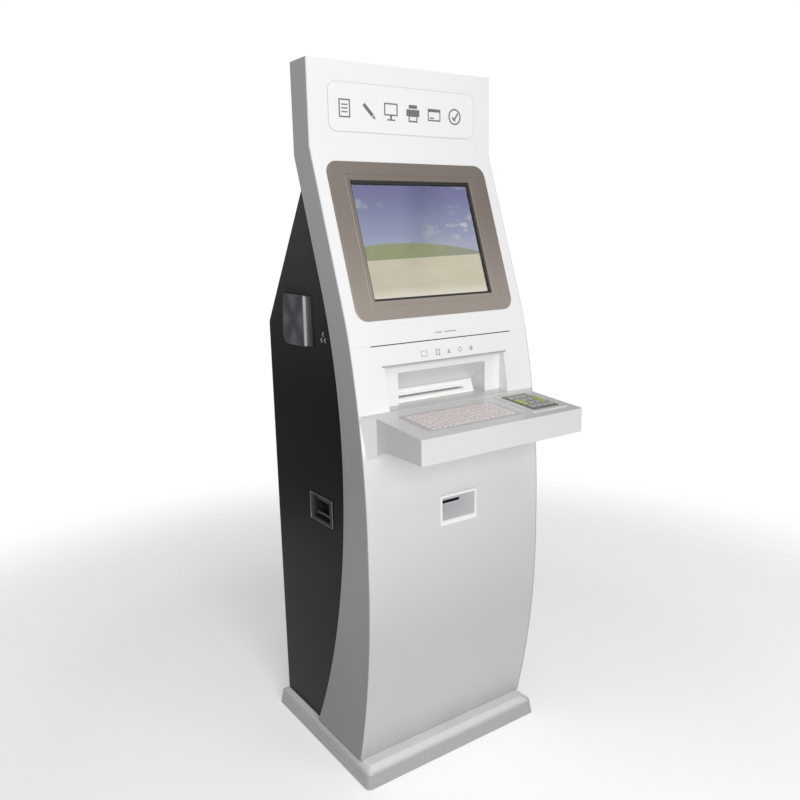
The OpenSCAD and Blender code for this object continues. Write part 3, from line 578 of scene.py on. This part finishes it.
# The keys' bright pinkish colour is a painted reflection: the pink tint of the highlights on the steel keys.
key_metal = brushed("key_metal", (0.86, 0.79, 0.78), 0.26, "X", 30, 0.35)
pad_surround = plastic("pad_surround", (0.62, 0.62, 0.59), 0.3, 0.08, 900, 0.15, 0.03)
pad_body = plastic("pad_body", (0.17, 0.18, 0.17), 0.4, 0.3, 1200)
pad_key = plastic("pad_key", (0.40, 0.41, 0.41), 0.35, 0.1, 900)
pad_function_key = plastic("pad_function_key", (0.46, 0.48, 0.13), 0.35, 0.1, 900)
reader_bright = brushed("reader_bright", (0.66, 0.66, 0.70), 0.34, "Z", 40, 0.6)
reader_dim = brushed("reader_dim", (0.20, 0.20, 0.22), 0.34, "Z", 40)
rim_metal = brushed("rim_metal", (0.55, 0.55, 0.56), 0.22, "Y", 40)
grip_metal = brushed("grip_metal", (0.16, 0.16, 0.17), 0.30, "Y", 30)
cup_black = plastic("cup_black", (0.016, 0.016, 0.017), 0.55, 0.15, 900)
chrome = brushed("bright_hardware", (0.74, 0.74, 0.76), 0.16, "Z", 20)
zinc_steel = zinc("zinc_steel")
inlet_black = plastic("inlet_black", (0.028, 0.028, 0.028), 0.4, 0.25, 1200)
rocker_red = plastic("rocker_red", (0.42, 0.02, 0.02), 0.28, 0.05, 900, 0.2)
computer_paint = paint("computer_case", (0.10, 0.10, 0.11), 0.5, 0.2, 0.0, 0.4, dust=0.0)
arrow_grey = vinyl("arrow_grey", (0.40, 0.40, 0.41))
edge_grey = plastic("edge_grey", (0.60, 0.60, 0.61), 0.5, 0.1, 900)
# Grey for a painted shadow: the strip under the recess's top lip.
lip_shadow_grey = plastic("lip_shadow_grey", (0.36, 0.35, 0.36), 0.5, 0.1, 900)


# ---- Front skins and side bands ----
CURVE_STEP = 14.0
KINKS = (straight[0], straight[1], bend_z, slope_foot[1], kink_z)


def skin(z0, z1):
    """A strip of the front skin, between two heights."""
    loops = []
    for z in heights(z0, z1, CURVE_STEP, KINKS):
        depth_y, depth_z = inwards(front_at, z, sheet)
        depth_z = z if z in (z0, z1) else depth_z
        outer = [(x, front_at(z), z) for x in (-skin_x, skin_x)]
        loops.append([*outer, (skin_x, depth_y, depth_z), (-skin_x, depth_y, depth_z)])
    return Solid().loft(loops)


def band(side):
    """One side band: an outer skin with a flange turned in along its rear edge."""
    loops = []
    for z in heights(plinth_h, total_h, CURVE_STEP, (*KINKS, band_waist[1], band_end[1], band_kink_z)):
        outer, rear = front_at(z), band_rear_at(z)
        loop = [(skin_x, outer), (band_x, outer), (band_x, rear), (side_x, rear), (side_x, rear - sheet)]
        loops.append([(side * x, y, z) for x, y in [*loop, (skin_x, rear - sheet)]])
    return Solid().loft(loops)


screen_hole = Solid().prism(rounded(440, 352, 20), -20, 20, SLOPE)
indicator_holes = Solid()
for x0, x1 in ((-24, -4), (4, 37)):
    indicator_holes.box(x0, x1, -1.5, 1.5, -6, 6, on_waist(1090))
piece("upper_fascia_skin", skin(fascia_z, total_h), shell_white,
      nodes=["upper_fascia"], cuts=[screen_hole, indicator_holes], edge=1.2, segments=3)

recess_z = (926.0, 1024.5)
recess_x = 178.0
recess_hole = Solid().box(-recess_x, recess_x, -300, -150, *recess_z)
seam = Solid().box(-208, 208, -300, 0, fascia_z - 2.2, fascia_z + 1)
piece("middle_fascia_skin", skin(panel_z, fascia_z), shell_white,
      nodes=["middle_fascia"], cuts=[recess_hole, seam], edge=0.9, segments=3)

# A grey strip along the recess's top edge, put in as the painted shadow under the lip there.
lip_shadow_z = recess_z[1] + 2.4
lip_shadow_strip = Solid().prism(rounded(372, 3.4, 1.2, 3), -0.6, 0.5, on_waist(lip_shadow_z))
piece("recess_lip_shadow_strip", lip_shadow_strip, lip_shadow_grey, edge=0.2)
receipt_hole = Solid().box(-53, 53, -300, -150, 634, 703)
piece("lower_front_skin", skin(plinth_h, panel_z), front_silver,
      nodes=["lower_front_panel"], cuts=[receipt_hole], edge=0.9, segments=3)
for side, name in ((-1, "left_side_band"), (1, "right_side_band")):
    piece(name + "_skin", band(side), band_paint, nodes=[name], edge=1.4, segments=3)

# ---- Cabinet, header and rear ----
for name in ("left_side_panel", "right_side_panel"):
    refined(name, cabinet_black, 0.8)
refined("header_cover", shell_white, 0.8)
for name in ("rear_slope_panel", "rear_frame", "rear_door"):
    refined(name, rear_black, 0.6)
for name in ("base_plate", "cabinet_floor", "inner_frame", "lcd_module"):
    refined(name, zinc_steel, 0.4)
for name in ("door_hinges", "door_lock"):
    refined(name, chrome, 0.5, 3)
refined("panel_screws", chrome, 0.4, 3)

# ---- Plinth ----
plinth_edge = 38.0
draft = 5.0
ledge = 25.0
plinth_sheet = 3.0


def plinth_loop(inset, z, radius):
    return [(x, y, z) for x, y in rounded(plinth_w - 2 * inset, plinth_d - 2 * inset, radius, 8)]


def opening_loop(z):
    """The cable opening in the plinth's top."""
    return [(x, y, z) for x, y in rounded(360, 270, 4, 8, 0, 15)]


plinth_loops = [
    plinth_loop(plinth_sheet, 0, 12), plinth_loop(0.6, 0, 13.4), plinth_loop(0, 0.8, 14),
    plinth_loop(draft - 0.4, plinth_edge - 1.4, 14), plinth_loop(draft + 0.2, plinth_edge - 0.2, 13.6),
    plinth_loop(draft + 1.4, plinth_edge + 0.5, 13), plinth_loop(ledge - 1.2, plinth_h - 0.4, 9),
    plinth_loop(ledge, plinth_h, 8), opening_loop(plinth_h), opening_loop(plinth_h - plinth_sheet),
    plinth_loop(ledge + 2, plinth_h - plinth_sheet, 6),
    plinth_loop(draft + plinth_sheet, plinth_edge - 2, 10),
]
plinth_shell = Solid().loft(plinth_loops, ring=True)
piece("plinth_shell", plinth_shell, plinth_silver, nodes=["plinth"])

# ---- Sign and marks ----
refined("sign_panel", sign_face, 0.4, 3)
sign_low, sign_high = low("sign_panel"), high("sign_panel")
sign_mid = ((sign_low.x + sign_high.x) / 2, (sign_low.z + sign_high.z) / 2)
sign_edge = []
for grow, out in ((-0.5, -0.2), (-0.5, 0.25), (0.1, 0.45), (0.7, 0.25), (0.7, -0.2)):
    w, h = sign_high.x - sign_low.x + 2 * grow, sign_high.z - sign_low.z + 2 * grow
    sign_edge.append([(x, z, sign_low.y - out) for x, z in rounded(w, h, 20 + grow, 8, *sign_mid)])
piece("sign_edge_line", Solid().loft(sign_edge, ALONG_Y, ring=True), edge_grey)
refined("sign_pictograms", print_grey, 0.1)
refined("fascia_marks", small_print, 0.0)

# ---- Screen ----
# Loops of the frame, from the outside in: width, height, corner radius and height over the slope.
bezel_loops = [
    (462, 374, 30, -0.2), (462, 374, 30, 1.1), (461.2, 373.2, 29.6, 1.9), (459.6, 371.6, 28.8, 2.4),
    (458, 370, 28, 2.5), (378, 314, 4.5, 2.5), (376.6, 312.6, 3.8, 2.1), (376, 312, 3.5, 1.4),
    (372.6, 308.6, 2.2, 1.4), (371.4, 307.4, 1.8, 1.8), (370, 306, 1.5, 1.9), (352, 288, 1.2, 1.2),
    (349.6, 285.6, 0.8, 0.6), (349, 285, 0.6, -8), (438, 350, 19, -8), (438, 350, 19, -0.2),
]
frame_loops = [[(x, y, z) for x, y in rounded(w, h, r, 10)] for w, h, r, z in bezel_loops]
bezel = Solid().loft(frame_loops, SLOPE, ring=True)
piece("screen_bezel_frame", bezel, bezel_taupe, nodes=["screen_bezel"])
refined("screen_gasket", gasket_rubber, 0.5, 3)
refined("touch_glass", clear_glass(), 0.3)
refined("lcd_panel", picture(), 0.2)

# ---- Document outlet ----
refined("recess_panel", shell_white, 0.6)
refined("niche_liner", liner_grey, 0.5)
refined("landing_plate", landing_grey, 0.4)
refined("printer_bezel", outlet_white, 0.6, 3)
refined("document_printer", unit_grey, 0.8)

# ---- Receipt outlet ----
refined("receipt_bezel", outlet_plastic(), 0.7, 3)
refined("receipt_printer", unit_grey, 0.5)
refined("paper_roll", paper(), 0.4)

# ---- Shelf ----
shelf_x = 234.0
flare_r = 31.0
under_r = 105.0
under_c = (-310.0, shelf_low_z - under_r)


def shelf_plan(inset):
    """The shelf from above, with its sides flaring out into the bands."""
    x = shelf_x - inset
    flare = arc(shelf_x + flare_r, -262, flare_r + inset, 180, 90 + math.degrees(math.acos(0.12)), 14)
    right = arc(x - 5, shelf_front + inset + 5, 5, 270, 360, 6) + flare
    right += [(min(shelf_x + flare_r, band_x - inset), -228), (band_x - inset, -150)]
    return right + [(-x, y) for x, y in reversed(right)]


def shelf_side(inset):
    """The shelf from the side, its underside sweeping down into the front."""
    back = shelf_top_z + (-150 - shelf_front) * math.tan(shelf_tilt) - inset
    if inset:
        foot = [(shelf_front + inset, shelf_low_z - 20), (-150, shelf_low_z - 60)]
    else:
        foot = [(shelf_front, shelf_low_z), *arc(*under_c, under_r, 90, 40, 24)]
    return [(shelf_front + inset, shelf_top_z - inset), *foot, (-150, back)]


def front_body():
    """Everything behind the front skin's outer face, near the shelf."""
    outline = [(front_at(z), z) for z in heights(780, 1000, 10)]
    return Solid().prism([*outline, (0, 1000), (0, 780)], -300, 300, ALONG_X)


key_mid = (-55.0, 94.0)
pin_mid = (159.5, 99.5)


def shelf_box(mid, w, h):
    """A cutting block through the shelf's top, about a point of it."""
    x, y = mid
    return Solid().box(x - w / 2, x + w / 2, y - h / 2, y + h / 2, -20, 20, SHELF)


shelf = mesh_object("shelf_top_shell", Solid().prism(shelf_plan(0), 780, 980))
carve(shelf, Solid().prism(shelf_side(0), -300, 300, ALONG_X), "INTERSECT")
hollow = mesh_object("hollow", Solid().prism(shelf_plan(2.5), 700, 1000))
carve(hollow, Solid().prism(shelf_side(2.5), -300, 300, ALONG_X), "INTERSECT")
inner = Solid()
inner.add([v.co / MM for v in hollow.data.vertices], [list(p.vertices) for p in hollow.data.polygons])
bpy.data.objects.remove(hollow)
key_hole = shelf_box(key_mid, 254, 112)
pin_hole = shelf_box(pin_mid, 94, 126)
for cut in (inner, front_body(), key_hole, pin_hole):
    carve(shelf, cut)
round_edges(shelf, 1.6, 3, 25)
smooth(shelf)
present(shelf, shelf_silver, nodes=["shelf_shell"])
refined("shelf_floor", front_silver, 0.4)

# ---- Keyboard ----
key_px = 15.0
key_py = 17.0
key_cols = 16
key_w = key_px - 2.6
key_h = key_py - 2.8
key_top = 2.3
space_cols = (4, 9)
refined("keyboard_plate", keyboard_metal, 0.25)


def key_centre(column, row):
    return key_mid[0] + key_px * (column - (key_cols - 1) / 2), key_mid[1] + key_py * (3.5 - row)


def key_cap(solid, x, y, w, h, top, flange=0.9, foot=-5.6, dish=0.45):
    """A key: a flange under the plate, straight sides, a rounded shoulder and a dished top."""
    steps = [
        (flange, foot, 1.0), (flange, foot + 1.2, 1.0), (0, foot + 1.2, 1.0), (0, top - 1.3, 1.2),
        (-0.25, top - 0.6, 1.4), (-0.7, top - 0.15, 1.6), (-1.3, top, 1.8), (-2.2, top - dish * 0.5, 1.8),
        (-3.6, top - dish, 1.6),
    ]
    loops = []
    for grow, z, radius in steps:
        loops.append([(px, py, z) for px, py in rounded(w + 2 * grow, h + 2 * grow, radius, 3, x, y)])
    return solid.loft(loops, SHELF)


for row in range(1, 7):
    caps = Solid()
    for column in range(key_cols):
        if row < 6 or not space_cols[0] <= column <= space_cols[1]:
            key_cap(caps, *key_centre(column, row), key_w, key_h, key_top)
    name = f"key_row_{row}"
    piece(name + "_caps", caps, key_metal, name, [name])
space_x = (key_centre(space_cols[0], 6)[0] + key_centre(space_cols[1], 6)[0]) / 2
space_w = key_px * (space_cols[1] - space_cols[0]) + key_w
bar = key_cap(Solid(), space_x, key_centre(0, 6)[1], space_w, key_h, key_top)
piece("space_bar_cap", bar, key_metal, "space_bar", ["space_bar"])

# ---- PIN pad ----
pin_px = 18.5
pin_py = 24.0
pin_w = 14.5
pin_h = 16.0
pin_top = 5.5
# Loops of the surround: width, height, corner radius and height over the shelf.
surround_loops = [
    (112, 143, 5, -0.1), (112, 143, 5, 1.2), (111, 142, 4.6, 2.1), (109.4, 140.4, 4, 2.5),
    (88, 119, 2.2, 2.5), (84.4, 115.4, 1.4, 1.9), (82, 113, 1, 0.4), (82, 113, 1, -6),
    (93, 125, 2, -6), (93, 125, 2, -0.1),
]
surround = [[(x, y, z) for x, y in rounded(w, h, r, 6, *pin_mid)] for w, h, r, z in surround_loops]
pin_rim = Solid().loft(surround, SHELF, True)
piece("pin_pad_rim", pin_rim, pad_surround, nodes=["pin_pad_surround"])
refined("pin_pad_body", pad_body, 0.5)


def pin_cap(solid, column, row, taller=0.0):
    """A key of the PIN pad, without a flange; the function keys are two rows tall."""
    x, y = pin_mid[0] + pin_px * (column - 1.5), pin_mid[1] + pin_py * (2.5 - row)
    return key_cap(solid, x, y, pin_w, pin_h + taller, pin_top, flange=0.0, foot=-3.5, dish=0.6)


for row, columns in ((1, range(4)), (2, (1, 2)), (3, (1, 2)), (4, range(4))):
    caps = Solid()
    for column in columns:
        pin_cap(caps, column, row)
    name = f"pin_row_{row}"
    piece(name + "_caps", caps, pad_key, name, [name])
for column, name in ((0, "pin_key_cancel"), (3, "pin_key_enter")):
    cap = pin_cap(Solid(), column, 2.5, pin_py)
    piece(name + "_cap", cap, pad_function_key, name, [name])

# ---- Left side fittings ----
reader_x = low("card_reader").x
reader_low, reader_high = low("card_reader").z, high("card_reader").z
reader_back = high("card_reader").y
reader_lip = low("card_reader").y
dish_mid = (0.50 * reader_back, (reader_low + reader_high) / 2)
dish_r = (46.0, 54.0)
dish_depth = 1.8


def dense(points, step):
    """A closed outline with points no further apart than step."""
    fine = []
    for (x0, y0), (x1, y1) in zip(points, points[1:] + points[:1]):
        count = max(1, round(math.hypot(x1 - x0, y1 - y0) / step))
        fine += [(x0 + (x1 - x0) * i / count, y0 + (y1 - y0) * i / count) for i in range(count)]
    return fine


def reader_outline(inset):
    """The reader's housing from the side, as y and z."""
    corner = arc(reader_back - 22, reader_low + 22, 22, 270, 360, 10)
    points = dense([(0, reader_low), *corner, (reader_back - 8, reader_high), (0, reader_high)], 5)
    mid_y, mid_z = reader_back / 2, (reader_low + reader_high) / 2
    wide, tall = 1 - 2 * inset / reader_back, 1 - 2 * inset / (reader_high - reader_low)
    return [(mid_y + (y - mid_y) * wide, mid_z + (z - mid_z) * tall) for y, z in points]


def dish_loop(share):
    """An oval about the dish's middle, with a point for each point of the housing's outline."""
    loop = []
    for y, z in reader_outline(2.0):
        turn = math.atan2((z - dish_mid[1]) / dish_r[1], (y - dish_mid[0]) / dish_r[0])
        across, up = dish_r[0] * math.cos(turn), dish_r[1] * math.sin(turn)
        loop.append((dish_mid[0] + share * across, dish_mid[1] + share * up))
    return loop


def dished_metal():
    """Dark metal, brushed in ovals about the dish's middle, with fan-shaped highlights painted into its
    colour.
    """
    m = Finish("reader_dish", 0.26, 0.9, Anisotropic=0.4)
    y, z = m.axis("Y"), m.axis("Z")
    across = m.math("MULTIPLY", m.math("SUBTRACT", y, dish_mid[0] * MM), 1 / (dish_r[0] * MM))
    up = m.math("MULTIPLY", m.math("SUBTRACT", z, dish_mid[1] * MM), 1 / (dish_r[1] * MM))
    away = m.math("SQRT", m.math("ADD", m.math("MULTIPLY", across, across), m.math("MULTIPLY", up, up)))
    place = m.node("CombineXYZ")
    m.put(place.inputs["X"], away)
    lines = m.noise(70, 4, place.outputs["Vector"], 0.7)
    # Fan-shaped lighter sectors in the base colour: painted highlights of the circular brushing.
    turn = m.math("MULTIPLY", m.math("ARCTAN2", up, across), 4.0)
    fan = m.math("MULTIPLY_ADD", m.math("COSINE", turn), 0.5, 0.5)
    fan = m.math("MULTIPLY", fan, m.span(away, 0.15, 0.75))
    dark = m.blend(lines, (0.085, 0.088, 0.10), (0.15, 0.155, 0.175))
    m.set("Base Color", m.blend(m.math("MULTIPLY", fan, 0.55), dark, (0.34, 0.35, 0.38)))
    m.set("Roughness", m.span(lines, 0.3, 0.7, 0.20, 0.36))
    m.bump(lines, 0.35, 0.0002)
    return m.material


reader_steps = (
    (0.6, -side_x), (0, -side_x - 0.6), (0, reader_x + 1.6), (0.5, reader_x + 0.5), (1.6, reader_x),
)
housing = [[(*p, x) for p in reader_outline(inset)] for inset, x in reader_steps]
for share in (1, 0.9, 0.7, 0.45, 0.2, 0.04):
    housing.append([(*p, reader_x + dish_depth * (1 - share**2)) for p in dish_loop(share)])
reader_shell = Solid().loft(housing, ALONG_X)
piece("card_reader_housing", reader_shell, dished_metal(), nodes=["card_reader"])

strip = Solid().box(reader_x - 0.4, -side_x - 5.9, -1.4, 3.6, reader_low + 3, reader_high - 3)
piece("card_reader_edge_strip", strip, reader_bright, edge=0.4, segments=3)
guide = Solid().box(-side_x - 5.5, -side_x, reader_lip, -3, reader_low + 2, reader_high - 2)
guide.box(-side_x - 0.8, -side_x, -4, 0.2, reader_low + 2, reader_high - 2)
piece("card_reader_guide", guide, unit_grey, edge=0.3)
bead_turn = (Matrix.Rotation(math.pi / 2, 4, "Z") @ Matrix.Rotation(math.pi / 2, 4, "X")
             @ Matrix.Rotation(math.pi, 4, "Y"))
bead_place = Matrix.Translation((-side_x - 5.4, -5.2, dish_mid[1])) @ bead_turn
bead = Solid().prism(rounded(2.6, reader_high - reader_low - 8, 1.2, 4), 0, 0.7, bead_place)
piece("card_reader_guide_bead", bead, reader_dim, edge=0.25)
inner_block = Solid().box(-side_x - 0.3, high("card_reader").x, 12, 88, 1082, 1158)
piece("card_reader_module", inner_block, unit_grey, edge=0.8)

arrows = Solid()
for a, b in ((68, 1094), (60, 1080), (76, 1080)):
    outer = [(a + 0.5, b + 5.5), (a + 5, b + 5.5)]
    inner_tip = [(a - 1, b), (a + 5, b - 5.5), (a + 0.5, b - 5.5)]
    arrows.prism([(a - 6, b), *outer, *inner_tip], -0.05, 0.25, LEFT_SIDE)
piece("insert_arrows", arrows, arrow_grey)

refined("side_handle_cup", cup_black, 0.8, 3)
refined("side_handle_grip", grip_metal, 0.5, 3)
cup_low, cup_high = low("side_handle_cup"), high("side_handle_cup")
cup_mid = ((cup_low.y + cup_high.y) / 2, (cup_low.z + cup_high.z) / 2)
cup_w = cup_high.y - cup_low.y
cup_h = cup_high.z - cup_low.z
rim_x = cup_low.x
rim_steps = ((0, 0.3), (0, -0.5), (0.25, -0.9), (0.7, -1.1), (1.15, -0.9), (1.4, -0.5), (1.4, 0.3))
rim = [[(*p, rim_x + x) for p in rounded(cup_w - 2 * inset, cup_h - 2 * inset, 3.2 - inset, 6, *cup_mid)]
       for inset, x in rim_steps]
piece("side_handle_rim", Solid().loft(rim, ALONG_X, ring=True), rim_metal)

# ---- Inside and power ----
refined("computer", computer_paint, 1.0)
for name in ("power_inlet", "cooling_fan", "fan_rotor"):
    refined(name, inlet_black, 0.5)
refined("power_rocker", rocker_red, 0.5, 3)


# ---- Floor, light and camera ----
BODY_MIDDLE = (0, 0, 1.0)
AMBIENT = 0.29
FLOOR_R = 9000.0


def floor_finish():
    """A pale studio floor that fades into the white background."""
    m = Finish("floor", 0.7)
    m.set("Base Color", m.blend(m.noise(3, 2), (0.80, 0.80, 0.80), (0.83, 0.83, 0.83)))
    m.set("Specular IOR Level", 0.2)
    m.set("Emission Color", (1.0, 1.0, 1.0, 1.0))
    m.set("Emission Strength", 0.34)
    flat = m.node("VectorMath", operation="LENGTH")
    m.put(flat.inputs[0], m.where)
    m.set("Alpha", m.span(flat.outputs["Value"], 0.9, 2.4, 1.0, 0.0))
    return m.material


floor_disc = Solid().prism(circle(FLOOR_R, 96), -30, 0)
floor = mesh_object("floor", floor_disc)
floor.data.materials.append(floor_finish())


def area_light(name, place, target, size, power):
    data = bpy.data.lights.new(name, "AREA")
    data.shape = "RECTANGLE"
    data.size = size
    data.size_y = size
    data.energy = power
    lamp = bpy.data.objects.new(name, data)
    lamp.location = place
    lamp.rotation_euler = (Vector(target) - Vector(place)).to_track_quat("-Z", "Y").to_euler()
    bpy.context.scene.collection.objects.link(lamp)


area_light("key", (-1.2, -3.3, 1.7), BODY_MIDDLE, 1.8, 84)
area_light("top", (0.2, -2.2, 3.6), BODY_MIDDLE, 1.6, 24)


def background():
    """Plain white as seen by the camera, and softer as a light."""
    world = bpy.data.worlds.new("studio")
    world.use_nodes = True
    tree = world.node_tree
    shade_node = tree.nodes["Background"]
    shade_node.inputs["Color"].default_value = (1, 1, 1, 1)
    path = tree.nodes.new("ShaderNodeLightPath")
    level = tree.nodes.new("ShaderNodeMapRange")
    level.inputs["To Min"].default_value = AMBIENT
    level.inputs["To Max"].default_value = 1.0
    tree.links.new(path.outputs["Is Camera Ray"], level.inputs["Value"])
    tree.links.new(level.outputs[0], shade_node.inputs["Strength"])
    return world


bpy.context.scene.world = background()
bpy.context.scene.view_settings.view_transform = "Standard"


def make_camera():
    yaw, pitch, roll = (math.radians(a) for a in (-34.5688, -11.9268, -1.2232))
    ahead = Vector((-math.sin(yaw) * math.cos(pitch), math.cos(yaw) * math.cos(pitch), math.sin(pitch)))
    right = Vector((math.cos(yaw), math.sin(yaw), 0))
    up = right.cross(ahead)
    side = right * math.cos(roll) + up * math.sin(roll)
    top = up * math.cos(roll) - right * math.sin(roll)
    data = bpy.data.cameras.new("camera")
    data.sensor_width = 36.0
    data.lens = 35.445
    camera = bpy.data.objects.new("camera", data)
    turn = Matrix((side, top, -ahead)).transposed().to_4x4()
    camera.matrix_world = Matrix.Translation((-1.1406, -1.666, 1.319)) @ turn
    bpy.context.scene.collection.objects.link(camera)
    bpy.context.scene.camera = camera


make_camera()
